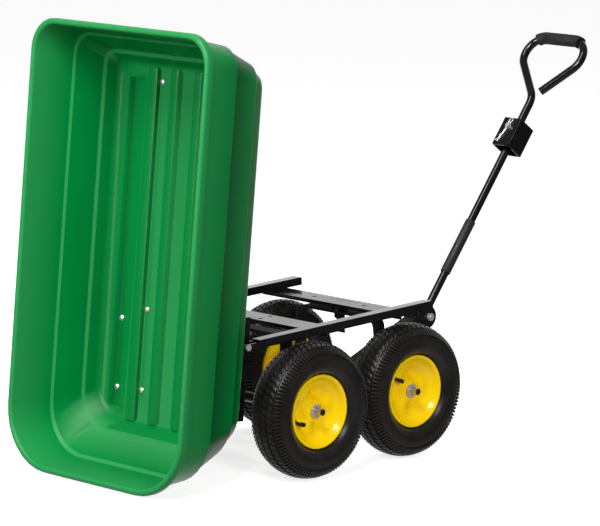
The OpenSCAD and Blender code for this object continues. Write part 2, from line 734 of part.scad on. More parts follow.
function shrunk(row) = [
  row[1] - tub_wall, row[2] - tub_wall, row[3] - tub_wall, row[4] + tub_wall, row[5] + tub_wall];
outer_rows = [for (i = [len(inner_rows) - 2:-1:1]) let (row = inner_rows[i])
  [row[0] + tub_wall, each shrunk(row)]];
base_row = [tub_deep, each shrunk(inner_rows[0])];

module tub_shell() {
  rings = [for (row = concat(inner_rows, lip_rows, outer_rows, [base_row])) ring(row)];
  n = len(rings[0]);
  m = len(rings);
  polyhedron(
    points = [for (r = rings) each r],
    faces = concat(
      [[for (k = [n - 1:-1:0]) k]],
      [for (i = [0:m - 2], k = [0:n - 1]) let (a = i * n + k, b = i * n + (k + 1) % n) each
        [[a, b, b + n], [a, b + n, a + n]]],
      [[for (k = [0:n - 1]) (m - 1) * n + k]]));
}

// The ribs run into the end walls; the channels stop short of them
rib_from = inner_rows[0][3] - 6 - tub_rear;
rib_to = tub_front - inner_rows[0][2] + 8;
channel_from = inner_rows[0][3] + 12 - tub_rear;
channel_to = tub_front - inner_rows[0][2] - 14;
module floor_bar(y, z, low, high, h, from, to) {
  translate([from, y, z]) rotate([90, 0, 90]) linear_extrude(to - from)
    polygon([[-low / 2, 0], [low / 2, 0], [high / 2, h], [-high / 2, h]]);
}
channel_floor = channel_w - 2 * channel_deep;
rib_top = rib_w - 1.2 * rib_h;
rib_wall = 7;
bolt_spots = [
  for (hand = [left, right]) each [
    [angle_front * 0.18, hand * channel_y, keel_z + floor_t, angle_t + floor_t],
    [bolt_d * 3 - angle_rear, hand * channel_y, keel_z + floor_t, angle_t + floor_t],
    [angle_front * 0.67, hand * rib_pitch, tub_floor + floor_t, plate_t + floor_t],
    [bolt_d * 3.75 - angle_rear, hand * rib_pitch, tub_floor + floor_t, plate_t + floor_t],
    [latch_x, hand * rib_pitch, tub_floor + floor_t, latch_t + floor_t]]];

module tub() {
  color([0.0, 0.5, 0.24]) in_tub() difference() {
    union() {
      tub_shell();
      for (y = [-1.5:1:1.5])
        floor_bar(y * rib_pitch, tub_floor + floor_t / 2, rib_w, rib_top, rib_h + floor_t / 2,
                  rib_from, rib_to);
      for (hand = [left, right])
        floor_bar(hand * channel_y, keel_z, channel_floor + 4, channel_w + 4, channel_deep + 1,
                  channel_from, channel_to);
    }
    for (y = [-1.5:1:1.5])
      floor_bar(y * rib_pitch, tub_floor - over, rib_w - 2 * rib_wall, rib_top - 2 * rib_wall, rib_h + over,
                channel_from + floor_t, channel_to - floor_t);
    for (hand = [left, right])
      floor_bar(hand * channel_y, keel_z + floor_t, channel_floor - 8, channel_w - 8, channel_deep + over,
                channel_from + floor_t, channel_to - floor_t);
    for (spot = bolt_spots)
      translate([spot[0], spot[1], keel_z - over])
        cylinder(d = bolt_d + 2 * seat, h = channel_deep + floor_t + rib_h);
  }
}
module tub_bolts() {
  color("silver") in_tub() for (spot = bolt_spots)
    translate([spot[0], spot[1], spot[2] + seat]) {
      rotate_extrude() polygon([[0, 0], [bolt_d, 0], [bolt_d, 1], [bolt_d * 0.7, 3.2], [0, 4]]);
      translate([0, 0, -spot[3] - bolt_d * 1.4]) cylinder(d = bolt_d, h = spot[3] + bolt_d * 1.4);
    }
}
module tub_nuts() {
  color("silver") in_tub() for (spot = bolt_spots)
    translate([spot[0], spot[1], spot[2] - spot[3] - seat - bolt_d * 0.8]) difference() {
      hex(bolt_d * 1.6, bolt_d * 0.8);
      translate([0, 0, -over]) cylinder(d = bolt_d + 2 * seat, h = bolt_d * 3);
    }
}
module hinge_angle(hand) {
  color([0.06, 0.06, 0.06]) in_tub() difference() {
    translate([-angle_rear, hand * angle_y, keel_z - seat]) rotate([0, 90, 0])
      linear_extrude(angle_rear + angle_front) polygon([
        [0, 0], [angle_deep + keel_z, 0], [angle_deep + keel_z, -hand * angle_t],
        [angle_t, -hand * angle_t], [angle_t, -hand * angle_w], [0, -hand * angle_w]]);
    translate([0, hand * angle_y, 0]) along_y(pivot_d + 2 * run, angle_t * 4);
    for (spot = bolt_spots)
      translate([spot[0], spot[1], keel_z - angle_t * 2]) cylinder(d = bolt_d + 2 * seat, h = angle_t * 3);
  }
}
module left_hinge_angle() { hinge_angle(left); }
module right_hinge_angle() { hinge_angle(right); }

module floor_plate() {
  half = channel_y - channel_w / 2 - plate_in / 2;
  color([0.06, 0.06, 0.06]) in_tub() difference() {
    translate([plate_in - angle_rear, -half, tub_floor - plate_t - seat])
      cube([angle_rear + angle_front - 2 * plate_in, 2 * half, plate_t]);
    for (spot = bolt_spots)
      translate([spot[0], spot[1], tub_floor - plate_t * 2]) cylinder(d = bolt_d + 2 * seat, h = plate_t * 3);
  }
}

// Latch under the front of the tub, which hooks the front cross-member when the tub is down

module latch_bracket() {
  plate_w = 2 * rib_pitch + 30;
  deep = tub_floor - latch_z + 8;
  color([0.06, 0.06, 0.06]) in_tub() difference() {
    union() {
      translate([latch_x - 16, -plate_w / 2, tub_floor - latch_t - seat]) cube([32, plate_w, latch_t]);
      for (hand = [left, right])
        translate([latch_x - 12, hand * (latch_w - latch_t) / 2 - latch_t / 2, tub_floor - deep])
          cube([24, latch_t, deep - seat]);
    }
    translate([latch_x, 0, latch_z]) along_y(latch_pin_d + 2 * seat, latch_w * 2);
    for (spot = bolt_spots)
      translate([spot[0], spot[1], tub_floor - latch_t * 2]) cylinder(d = bolt_d + 2 * seat, h = latch_t * 3);
  }
}
module latch_pin() {
  color("silver") in_tub() translate([latch_x, 0, latch_z]) {
    along_y(latch_pin_d, latch_w + 10);
    for (hand = [left, right])
      along_y(latch_pin_d * 1.6, 3, hand * (latch_w / 2 + seat + 1.5));
  }
}
module latch_frame() {
  in_tub() translate([latch_x, 0, latch_z]) rotate([0, -latch_open, 0]) children();
}
module latch_lever() {
  lever_w = latch_w - 2 * latch_t - 2 * gap;
  hook_z = cross_top - cross_h - 3 + hinge_drop - latch_z;
  hook_x = frame_reach + cross_w / 2 + hinge_back - latch_x;
  path = [
    [hook_x - 8, hook_z], [hook_x + 8, hook_z - 6], [4, hook_z - 2], [0, -2], [14, -9],
    [lever_l - 20, -9], [lever_l, -14]];
  color([0.06, 0.06, 0.06]) latch_frame() difference() {
    union() {
      rotate([90, 0, 0]) linear_extrude(lever_w, center = true) polygon(sheet(path, lever_t));
      along_y(latch_pin_d + 8, lever_w);
    }
    along_y(latch_pin_d + 2 * run, lever_w * 2);
  }
}
module latch_grip() {
  grip_l = lever_l * 0.42;
  lever_w = latch_w - 2 * latch_t - 2 * gap;
  color([0.06, 0.06, 0.06]) latch_frame() translate([lever_l - 24 - grip_l, 0, -9]) difference() {
    translate([0, -lever_w / 2 - 4, -7]) cube([grip_l, lever_w + 8, 14]);
    translate([-over, -lever_w / 2 - seat, -lever_t / 2 - seat])
      cube([grip_l + 2 * over, lever_w + 2 * seat, lever_t + 2 * seat]);
  }
}

left_rail();
right_rail();
front_cross_member();
rear_cross_member();
rear_axle_beam();
left_rear_leg();
right_rear_leg();
rear_axle();
kingpin();
hinge_bolts();
rear_washers();
rear_cotter_pins();
tub();
left_hinge_angle();
right_hinge_angle();
floor_plate();
tub_bolts();
tub_nuts();
latch_bracket();
latch_pin();
latch_lever();
latch_grip();
front_axle_bracket();
front_axle();
steering_spacer();
kingpin_nut();
tongue();
clevis();
clevis_bolt();
front_washers();
front_cotter_pins();
pull_bar();
bar_sleeve();
tow_receiver();
tow_pin();
tow_clip();
loop_handle();
grip();
tyre(0, rear_track, left);  // left_rear_tyre
rim(0, rear_track, left);  // left_rear_rim
bushes(0, rear_track, left);  // left_rear_bushes
valve(0, rear_track, left, 80);  // left_rear_valve
tyre(0, rear_track, right);  // right_rear_tyre
rim(0, rear_track, right);  // right_rear_rim
bushes(0, rear_track, right);  // right_rear_bushes
valve(0, rear_track, right, 203);  // right_rear_valve
tyre(frame_reach, front_track, left);  // left_front_tyre
rim(frame_reach, front_track, left);  // left_front_rim
bushes(frame_reach, front_track, left);  // left_front_bushes
valve(frame_reach, front_track, left, 250);  // left_front_valve
tyre(frame_reach, front_track, right);  // right_front_tyre
rim(frame_reach, front_track, right);  // right_front_rim
bushes(frame_reach, front_track, right);  // right_front_bushes
valve(frame_reach, front_track, right, 152);  // right_front_valve
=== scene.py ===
import json
from math import atan2, cos, hypot, pi, radians, sin

import bpy
from mathutils import Euler, Matrix, Vector


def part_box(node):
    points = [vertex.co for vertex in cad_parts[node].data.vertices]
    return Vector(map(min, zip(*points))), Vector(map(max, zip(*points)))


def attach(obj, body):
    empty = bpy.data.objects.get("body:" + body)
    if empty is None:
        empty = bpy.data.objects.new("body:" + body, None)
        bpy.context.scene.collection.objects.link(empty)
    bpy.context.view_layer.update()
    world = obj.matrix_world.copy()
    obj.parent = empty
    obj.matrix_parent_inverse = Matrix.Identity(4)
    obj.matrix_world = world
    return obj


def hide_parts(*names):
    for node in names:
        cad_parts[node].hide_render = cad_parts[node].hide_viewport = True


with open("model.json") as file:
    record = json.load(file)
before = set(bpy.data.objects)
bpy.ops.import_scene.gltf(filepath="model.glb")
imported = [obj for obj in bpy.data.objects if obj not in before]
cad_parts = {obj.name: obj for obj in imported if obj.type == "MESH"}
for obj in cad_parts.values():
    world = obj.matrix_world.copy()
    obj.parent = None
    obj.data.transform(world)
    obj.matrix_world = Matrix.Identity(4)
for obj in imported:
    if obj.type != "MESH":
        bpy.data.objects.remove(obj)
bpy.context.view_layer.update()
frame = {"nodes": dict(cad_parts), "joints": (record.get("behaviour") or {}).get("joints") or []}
node = frame["nodes"]
bpy.ops.object.select_all(action="DESELECT")


# The studio: one wide sheet of white paper that the cart stands on, a bright wall behind it and four
# soft lamps. Only the camera sees the paper, so that it throws no glare onto the black paint.
paper_wide = 90
paper_level = -0.0005
paper_glow = 0.7

scene = bpy.context.scene
scene.view_settings.view_transform = "Standard"
bpy.ops.mesh.primitive_plane_add(size=paper_wide, location=(0, 0, paper_level))
paper = bpy.context.object
paper.name = "paper_floor"
paper.visible_glossy = False
paper.visible_diffuse = False


class Wire:
    """A shader socket that Python's operators can work on."""

    def __init__(self, tree, socket):
        self.tree = tree
        self.socket = socket

    def make(self, kind, settings, sockets, out=0):
        """A new node, with its settings made first and its sockets then set or linked."""
        made = self.tree.nodes.new(kind)
        for key, value in settings.items():
            setattr(made, key, value)
        for key, value in sockets.items():
            if isinstance(value, Wire):
                self.tree.links.new(value.socket, made.inputs[key])
            else:
                made.inputs[key].default_value = value
        return Wire(self.tree, made.outputs[out])

    def maths(self, operation, first, second):
        return self.make("ShaderNodeMath", {"operation": operation}, {0: first, 1: second})

    def __add__(self, other):
        return self.maths("ADD", self, other)

    def __mul__(self, other):
        return self.maths("MULTIPLY", self, other)

    def __gt__(self, other):
        return self.maths("GREATER_THAN", self, other)

    def __lt__(self, other):
        return self.maths("LESS_THAN", self, other)

    __radd__ = __add__
    __rmul__ = __mul__

    def noise(self, scale, detail=3.0, rough=0.5):
        sockets = {"Vector": self, "Scale": scale, "Detail": detail, "Roughness": rough}
        return self.make("ShaderNodeTexNoise", {}, sockets)

    def spread(self, low, high, to_low=0.0, to_high=1.0):
        sockets = {"Value": self, "From Min": low, "From Max": high, "To Min": to_low, "To Max": to_high}
        return self.make("ShaderNodeMapRange", {"clamp": True}, sockets)

    def tint(self, first, second):
        settings = {"data_type": "RGBA"}
        return self.make("ShaderNodeMix", settings, {0: self, 6: first, 7: second}, out=2)


def grey(value, warm=0.0):
    return (value * (1 + warm), value, value * (1 - warm), 1.0)


paper_white = bpy.data.materials.new("paper_white")
paper_white.use_nodes = True
paper_shader = paper_white.node_tree.nodes["Principled BSDF"]
paper_shader.inputs["Base Color"].default_value = grey(0.9)
paper_shader.inputs["Roughness"].default_value = 0.9
paper_shader.inputs["Emission Color"].default_value = grey(1.0)
paper_shader.inputs["Emission Strength"].default_value = paper_glow
paper.data.materials.append(paper_white)

# The wall behind the cart is bright. Ceiling and floor give a little light, and the room behind the
# camera is dim, so that gloss black steel stays black where it faces the camera.
wall_way = (0.69, 0.72, 0.0)
up_way = (0.0, 0.0, 1.0)

world = bpy.data.worlds.new("white_walls")
world.use_nodes = True
sky = world.node_tree
direction = Wire(sky, sky.nodes.new("ShaderNodeTexCoord").outputs["Object"])
along = {"operation": "DOT_PRODUCT"}
to_wall = direction.make("ShaderNodeVectorMath", along, {0: direction, 1: wall_way}, out="Value")
upwards = direction.make("ShaderNodeVectorMath", along, {0: direction, 1: up_way}, out="Value")
wall_light = to_wall.spread(0.55, 0.97, 0.04, 1.8)
ceiling_light = upwards.spread(0.1, 0.9, 0.0, 0.12)
floor_light = upwards.spread(-0.9, -0.1, 0.4, 0.0)
light = wall_light + ceiling_light + floor_light
sky.links.new(light.tint(grey(0.0), grey(1.0)).socket, sky.nodes["Background"].inputs["Color"])
scene.world = world


def soft_lamp(name, place, aim, wide, tall, power, mirrored=True):
    lamp_data = bpy.data.lights.new(name, "AREA")
    lamp_data.shape = "RECTANGLE"
    lamp_data.size = wide
    lamp_data.size_y = tall
    lamp_data.energy = power
    lamp = bpy.data.objects.new(name, lamp_data)
    lamp.location = place
    lamp.rotation_euler = (Vector(aim) - Vector(place)).to_track_quat("-Z", "Y").to_euler()
    lamp.visible_glossy = mirrored
    scene.collection.objects.link(lamp)


soft_lamp("lamp_above", place=(-2.7, -1.7, 3.3), aim=(-0.3, 0.0, 0.4), wide=1.2, tall=1.2, power=75)
soft_lamp("lamp_left", place=(-5.2, 1.0, 2.2), aim=(-0.5, 0.0, 0.5), wide=2.1, tall=2.1, power=250)
soft_lamp("lamp_strip", place=(-1.9, -0.1, 3.9), aim=(0.5, 0.0, 0.65), wide=0.8, tall=3.0, power=78)
soft_lamp("lamp_front", place=(-3.2, -7.3, 2.4), aim=(-0.2, 0.0, 0.5), wide=2.0, tall=2.0, power=410,
          mirrored=False)

# The camera's place and turn were fitted to the photograph's edges.
camera_place = Vector((-6.3135, -6.4392, 1.8362))
camera_azimuth = radians(-43.85)
camera_height = radians(8.735)
camera_roll = radians(0.959)

camera_data = bpy.data.cameras.new("camera")
camera_data.sensor_width = 36.0
camera_data.lens = 221.15
camera = bpy.data.objects.new("camera", camera_data)
camera_aim = Euler((pi / 2 - camera_height, 0, camera_azimuth)).to_matrix()
camera_turn = camera_aim @ Matrix.Rotation(camera_roll, 3, "Z")
camera.matrix_world = Matrix.Translation(camera_place) @ camera_turn.to_4x4()
scene.collection.objects.link(camera)
scene.camera = camera


# Chassis steel: cross-members, axle legs, tongue and brackets are folded and welded from mild steel
# sheet and powder coated in gloss black, which rounds every edge. The coat is dull on the axle beam,
# the front axle bracket and the tongue, which lie below the frame.
plate_round = 0.0009
bolt_round = 0.0004
edge_angle = radians(40)
weld_reach = 0.00001


def start_finish(name, **constants):
    """A new material with its constant sockets set, its shader and its Object coordinates."""
    material = bpy.data.materials.new(name)
    material.use_nodes = True
    shader = material.node_tree.nodes["Principled BSDF"]
    for key, value in constants.items():
        shader.inputs[key.replace("_", " ")].default_value = value
    coordinates = material.node_tree.nodes.new("ShaderNodeTexCoord")
    return material, shader, Wire(material.node_tree, coordinates.outputs["Object"])


def end_finish(shader, colour, roughness, bump, height, **others):
    """Links what varies over the surface to the shader, with the bump's height in metres."""
    tree = roughness.tree
    tree.links.new(colour.socket, shader.inputs["Base Color"])
    tree.links.new(roughness.socket, shader.inputs["Roughness"])
    normal = bump.make("ShaderNodeBump", {}, {"Strength": 0.5, "Distance": height, "Height": bump})
    tree.links.new(normal.socket, shader.inputs["Normal"])
    for key, value in others.items():
        tree.links.new(value.socket, shader.inputs[key.replace("_", " ")])


def powder_coat(name, rough, clear=0.3):
    material, shader, place = start_finish(name, IOR=1.5, Coat_Roughness=0.06)
    cloud = place.noise(9.0, detail=4.0)
    peel = place.noise(420.0, detail=2.0)
    dust = place.noise(38.0, detail=6.0, rough=0.7).spread(0.55, 0.85)
    colour = (dust * 0.35).tint(grey(0.0045), grey(0.018, 0.05))
    roughness = cloud.spread(0.3, 0.7, rough, rough + 0.06) + dust * 0.08
    coat = cloud.spread(0.3, 0.7, clear, clear / 2)
    end_finish(shader, colour, roughness, peel, 0.00006, Coat_Weight=coat)
    return material


def dress(names, material, round_off=0.0):
    """Gives CAD nodes a finish and, where asked, the small round that paint leaves on an edge."""
    for name in names:
        piece = node[name]
        piece.data.materials.clear()
        piece.data.materials.append(material)
        if round_off:
            weld = piece.modifiers.new("weld", "WELD")
            weld.merge_threshold = weld_reach
            bevel = piece.modifiers.new("round_off", "BEVEL")
            bevel.width = round_off
            bevel.segments = 2
            bevel.limit_method = "ANGLE"
            bevel.angle_limit = edge_angle
            bevel.harden_normals = True


chassis_black = powder_coat("chassis_black", rough=0.16)
underframe_black = powder_coat("underframe_black", rough=0.75, clear=0.0)
dress(["front_cross_member", "rear_cross_member", "left_rear_leg", "right_rear_leg", "clevis"],
      chassis_black, plate_round)
dress(["left_hinge_angle", "right_hinge_angle", "floor_plate", "latch_bracket", "latch_lever"],
      chassis_black, plate_round)
dress(["rear_axle_beam", "front_axle_bracket", "tongue"], underframe_black, plate_round)
dress(["kingpin", "kingpin_nut", "steering_spacer"], chassis_black, bolt_round)


# Rails: two lengths of channel, folded from steel sheet, welded to the cross-members and powder
# coated with them. The top of each front end is ground to a rounded nose.
nose_round = 0.005
nose_reach = 0.004
level_slack = 0.0002
merge_reach = 0.00002


def cad_copy(name, new_name):
    """A free copy of a CAD node, in the shared frame, with its triangles merged into whole faces."""
    copy = node[name].copy()
    copy.data = node[name].data.copy()
    copy.name = new_name
    scene.collection.objects.link(copy)
    copy.data.transform(copy.matrix_world)
    copy.matrix_world = Matrix()
    bpy.ops.object.select_all(action="DESELECT")
    copy.select_set(True)
    bpy.context.view_layer.objects.active = copy
    bpy.ops.mesh.customdata_custom_splitnormals_clear()
    bpy.ops.object.mode_set(mode="EDIT")
    bpy.ops.mesh.select_all(action="SELECT")
    bpy.ops.mesh.remove_doubles(threshold=merge_reach)
    bpy.ops.mesh.dissolve_limited(angle_limit=radians(0.3))
    bpy.ops.object.mode_set(mode="OBJECT")
    return copy


def ease_edges(piece, wanted, offset, segments):
    """Rounds the edges whose two ends pass the test."""
    bpy.ops.object.mode_set(mode="EDIT")
    bpy.ops.mesh.select_mode(type="EDGE")
    bpy.ops.mesh.select_all(action="DESELECT")
    bpy.ops.object.mode_set(mode="OBJECT")
    for edge in piece.data.edges:
        ends = [piece.data.vertices[k].co for k in edge.vertices]
        edge.select = wanted(*ends)
    bpy.ops.object.mode_set(mode="EDIT")
    bpy.ops.mesh.bevel(offset=offset, segments=segments, affect="EDGES", clamp_overlap=True)
    bpy.ops.object.mode_set(mode="OBJECT")


def on_nose(tip):
    """A test for the level edges at the top of a rail's front end."""
    def wanted(a, b):
        at_front = min(a.x, b.x) > tip.x - nose_reach
        at_top = min(a.z, b.z) > tip.z - nose_reach
        return at_front and at_top and abs(a.z - b.z) < level_slack
    return wanted


for side in ("left", "right"):
    rail = cad_copy(side + "_rail", side + "_nosed_rail")
    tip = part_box(side + "_rail")[1]
    ease_edges(rail, on_nose(tip), nose_round, 4)
    bpy.ops.object.shade_smooth_by_angle(angle=radians(35))
    rail.data.materials.clear()
    rail.data.materials.append(chassis_black)
    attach(rail, "chassis")
    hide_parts(side + "_rail")


# Axles: solid steel bars, black along their middles. The turned spindles that pass through the
# wheels are bright steel, with a dark sawn end.
sawn_deep = 0.0012
bar_black = grey(0.012)
spindle_bright = (0.62, 0.60, 0.57, 1.0)
sawn_brown = (0.22, 0.17, 0.16, 1.0)


def axle_steel(name, spindle_from, spindle_end):
    material, shader, place = start_finish(name, IOR=1.5)
    across = place.make("ShaderNodeSeparateXYZ", {}, {"Vector": place}, out="Y")
    across = across.make("ShaderNodeMath", {"operation": "ABSOLUTE"}, {0: across})
    bright = across > spindle_from
    sawn = across > spindle_end - sawn_deep
    scuff = place.noise(500.0, detail=4.0, rough=0.7)
    colour = sawn.tint(bright.tint(bar_black, spindle_bright), sawn_brown)
    roughness = scuff.spread(0.3, 0.7, 0.24, 0.42)
    end_finish(shader, colour, roughness, scuff, 0.0001, Metallic=bright)
    return material


for name, wheel in (("rear_axle", "left_rear_rim"), ("front_axle", "left_front_rim")):
    dress([name], axle_steel(name + "_steel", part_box(wheel)[0].y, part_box(name)[1].y))


# Bright fasteners: hinge, clevis and tub bolts, axle washers, cotter pins and the tow pin are steel,
# turned or cold-headed and then zinc plated, with a faint blue and straw bloom.
bloom_blue = (0.70, 0.75, 0.80, 1.0)
bloom_straw = (0.84, 0.80, 0.72, 1.0)


def zinc_plate(name, metal):
    material, shader, place = start_finish(name, Metallic=metal)
    bloom = place.noise(60.0, detail=2.0)
    scuff = place.noise(700.0, detail=4.0, rough=0.7)
    colour = bloom.spread(0.35, 0.65).tint(bloom_blue, bloom_straw)
    roughness = scuff.spread(0.3, 0.7, 0.26, 0.46)
    end_finish(shader, colour, roughness, scuff, 0.00008)
    return material


bright_zinc = zinc_plate("bright_zinc", metal=0.72)
dull_zinc = zinc_plate("dull_zinc", metal=0.97)
dress(["tub_bolts"], dull_zinc, bolt_round)
dress(["hinge_bolts", "clevis_bolt", "tub_nuts", "tow_pin", "latch_pin"], bright_zinc, bolt_round)
dress(["rear_washers", "front_washers", "rear_cotter_pins", "front_cotter_pins"], bright_zinc, bolt_round)


# Tyres: black rubber turf tyres, moulded with staggered blocks across the crown and a row of
# narrow lugs round each shoulder. They are seated on the rims by air pressure alone.
tyre_radius = 0.165
tyre_half = 0.050
tread_deep = 0.0048
casing_radius = tyre_radius - tread_deep
widest_radius = 0.1175
bead_radius = 0.079
crown_power = 2.2
crown_steps = 13
tyre_steps = 120
block_high = tread_deep + 0.003
block_round = 0.0011
block_rows = [(-0.50, 0.0), (-0.167, 0.5), (0.167, 0.0), (0.50, 0.5)]
block_count = 62
lug_rows = (-0.80, 0.80)
lug_count = 104
lug_twist = 0.10
block_lift = tread_deep / 2 - 0.0023
lug_lift = tread_deep / 2 - 0.0011


def crown_radius(share):
    """Radius of the casing, without its tread, at a share of the way from its middle to its side."""
    fall = max(0.0, 1 - abs(share) ** crown_power) ** (1 / crown_power)
    return widest_radius + (casing_radius - widest_radius) * fall


def spun_ring(name, outline, steps):
    """A closed outline of (across, radius) points spun round the wheel's axle, which is Y."""
    bpy.ops.object.select_all(action="DESELECT")
    bpy.ops.mesh.primitive_circle_add(vertices=len(outline))
    ring = bpy.context.object
    ring.name = name
    for vertex, (across, radius) in zip(ring.data.vertices, outline):
        vertex.co = (0, across, radius)
    bpy.ops.object.mode_set(mode="EDIT")
    bpy.ops.mesh.select_all(action="SELECT")
    bpy.ops.mesh.spin(steps=steps, angle=2 * pi, center=(0, 0, 0), axis=(0, 1, 0))
    bpy.ops.mesh.select_all(action="SELECT")
    bpy.ops.mesh.remove_doubles(threshold=merge_reach)
    bpy.ops.mesh.normals_make_consistent(inside=False)
    bpy.ops.object.mode_set(mode="OBJECT")
    return ring


def tread_block(name, length, width, step):
    """A slanting block: its two ends are set forwards and back by a step."""
    bpy.ops.object.select_all(action="DESELECT")
    bpy.ops.mesh.primitive_cube_add(size=1)
    block = bpy.context.object
    block.name = name
    bpy.ops.object.mode_set(mode="EDIT")
    bpy.ops.transform.resize(value=(length, width, block_high))
    bpy.ops.mesh.bisect(plane_co=(0, 0, 0), plane_no=(0, 1, 0))
    bpy.ops.object.mode_set(mode="OBJECT")
    for vertex in block.data.vertices:
        vertex.co.x += step * (vertex.co.y > width / 4) - step * (vertex.co.y < -width / 4)
    bpy.ops.object.mode_set(mode="EDIT")
    bpy.ops.mesh.select_all(action="SELECT")
    bpy.ops.mesh.bevel(offset=block_round, segments=2, affect="EDGES")
    bpy.ops.object.mode_set(mode="OBJECT")
    return block


def on_crown(share, spin, twist, lift):
    """Where a block stands: its X runs round the tyre, its Y across it and its Z out of it."""
    step = 0.01
    before = Vector((0, tyre_half * (share - step), crown_radius(share - step)))
    after = Vector((0, tyre_half * (share + step), crown_radius(share + step)))
    across = (after - before).normalized()
    out = Vector((1, 0, 0)).cross(across)
    point = Vector((0, tyre_half * share, crown_radius(share))) + out * lift
    axes = Matrix((Vector((1, 0, 0)), across, out)).transposed().to_4x4()
    stand = Matrix.Translation(point) @ axes @ Matrix.Rotation(twist, 4, "Z")
    return Matrix.Rotation(spin, 4, "Y") @ stand


def make_tyre():
    shares = [sin(pi / 2 * k / crown_steps) for k in range(-crown_steps, crown_steps + 1)]
    outside = [(tyre_half * share, crown_radius(share)) for share in shares]
    side = [(0.0492, 0.1125), (0.0489, 0.1095), (0.0496, 0.1085), (0.0482, 0.1065), (0.0462, 0.1015),
            (0.0428, 0.0972), (0.0320, 0.0915), (0.0280, bead_radius + 0.002), (0.0240, bead_radius)]
    outline = outside + side + [(-across, radius) for across, radius in reversed(side)]
    tyre = spun_ring("tyre", outline, tyre_steps)
    blocks = []
    middle = tread_block("middle_block", length=0.0122, width=0.0136, step=0.0042)
    lug = tread_block("shoulder_lug", length=0.0052, width=0.0190, step=0.0)
    for share, offset in block_rows:
        for k in range(block_count):
            spin = 2 * pi * (k + offset) / block_count
            blocks.append((middle, on_crown(share, spin, 0.0, block_lift)))
    for share in lug_rows:
        for k in range(lug_count):
            spin = 2 * pi * k / lug_count
            blocks.append((lug, on_crown(share, spin, lug_twist, lug_lift)))
    bpy.ops.object.select_all(action="DESELECT")
    for shape, place in blocks:
        copy = shape.copy()
        copy.data = shape.data.copy()
        copy.data.transform(place)
        scene.collection.objects.link(copy)
        copy.select_set(True)
    tyre.select_set(True)
    bpy.context.view_layer.objects.active = tyre
    bpy.ops.object.join()
    bpy.ops.object.shade_smooth_by_angle(angle=radians(32))
    for shape in (middle, lug):
        bpy.data.objects.remove(shape)
    return tyre


def tyre_rubber():
    material, shader, place = start_finish("tyre_rubber", IOR=1.45)
    bloom = place.noise(16.0, detail=5.0, rough=0.6)
    grain = place.noise(900.0)
    colour = bloom.spread(0.35, 0.7).tint(grey(0.0090, 0.10), grey(0.016, 0.14))
    roughness = bloom.spread(0.3, 0.7, 0.29, 0.42)
    end_finish(shader, colour, roughness, grain, 0.00015)
    return material


def wheel_copy(shape, name, corner, turned):
    """A copy of a wheel piece set on one corner's axle, with its outside facing outwards."""
    low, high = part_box(corner + "_rim")
    centre = (low + high) / 2
    centre.y = sum(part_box(corner + "_tyre"), Vector()).y / 2
    copy = shape.copy()
    copy.data = shape.data.copy()
    copy.name = name
    hand = pi if centre.y > 0 else 0.0
    facing = Matrix.Rotation(hand, 4, "Z") @ Matrix.Rotation(turned, 4, "Y")
    copy.data.transform(Matrix.Translation(centre) @ facing)
    scene.collection.objects.link(copy)
    return copy


wheel_turns = {"left_rear": 0.3, "right_rear": 0.0, "left_front": 1.1, "right_front": 0.7}
tyre = make_tyre()
tyre.data.materials.append(tyre_rubber())
for corner, turned in wheel_turns.items():
    piece = wheel_copy(tyre, corner + "_turf_tyre", corner, turned)
    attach(piece, corner + "_wheel")
    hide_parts(corner + "_tyre")
bpy.data.objects.remove(tyre)


# Rims: two dished halves and a hub tube, pressed from sheet steel, welded and painted yellow.
# The dish has three shallow swellings pressed into it, which keep the thin sheet stiff.
rim_sheet = 0.0026
rim_radius = 0.0885
rim_steps = 96
tube_steps = 48
corner_cuts = 2
swell_high = 0.0088
swell_from = 0.019
swell_wide = 0.048
swell_count = 3
swell_turn = radians(8)
yellow = (0.95, 0.655, 0.0, 1.0)
deep_yellow = (0.93, 0.61, 0.0, 1.0)


def eased(path, times):
    """The path with its corners cut, again and again, so that it runs in a smooth curve."""
    for _ in range(times):
        cut = [path[0]]
        for (x, y), (u, v) in zip(path, path[1:]):
            cut.append((0.75 * x + 0.25 * u, 0.75 * y + 0.25 * v))
            cut.append((0.25 * x + 0.75 * u, 0.25 * y + 0.75 * v))
        path = cut + [path[-1]]
    return path


def thick(path, thickness):
    """The closed outline of a sheet of that thickness along the path."""
    one_side, other_side = [], []
    for k, (x, y) in enumerate(path):
        ahead = path[min(k + 1, len(path) - 1)]
        behind = path[max(k - 1, 0)]
        along = (ahead[0] - behind[0], ahead[1] - behind[1])
        scale = thickness / 2 / hypot(*along)
        one_side.append((x - along[1] * scale, y + along[0] * scale))
        other_side.append((x + along[1] * scale, y - along[0] * scale))
    return one_side + other_side[::-1]


def press_swellings(dish):
    for vertex in dish.data.vertices:
        radius = hypot(vertex.co.x, vertex.co.z)
        share = (radius - swell_from) / swell_wide
        if 0 < share < 1:
            swell = cos(swell_count * (atan2(vertex.co.z, vertex.co.x) - swell_turn))
            vertex.co.y -= swell_high * sin(pi * share) ** 1.5 * swell


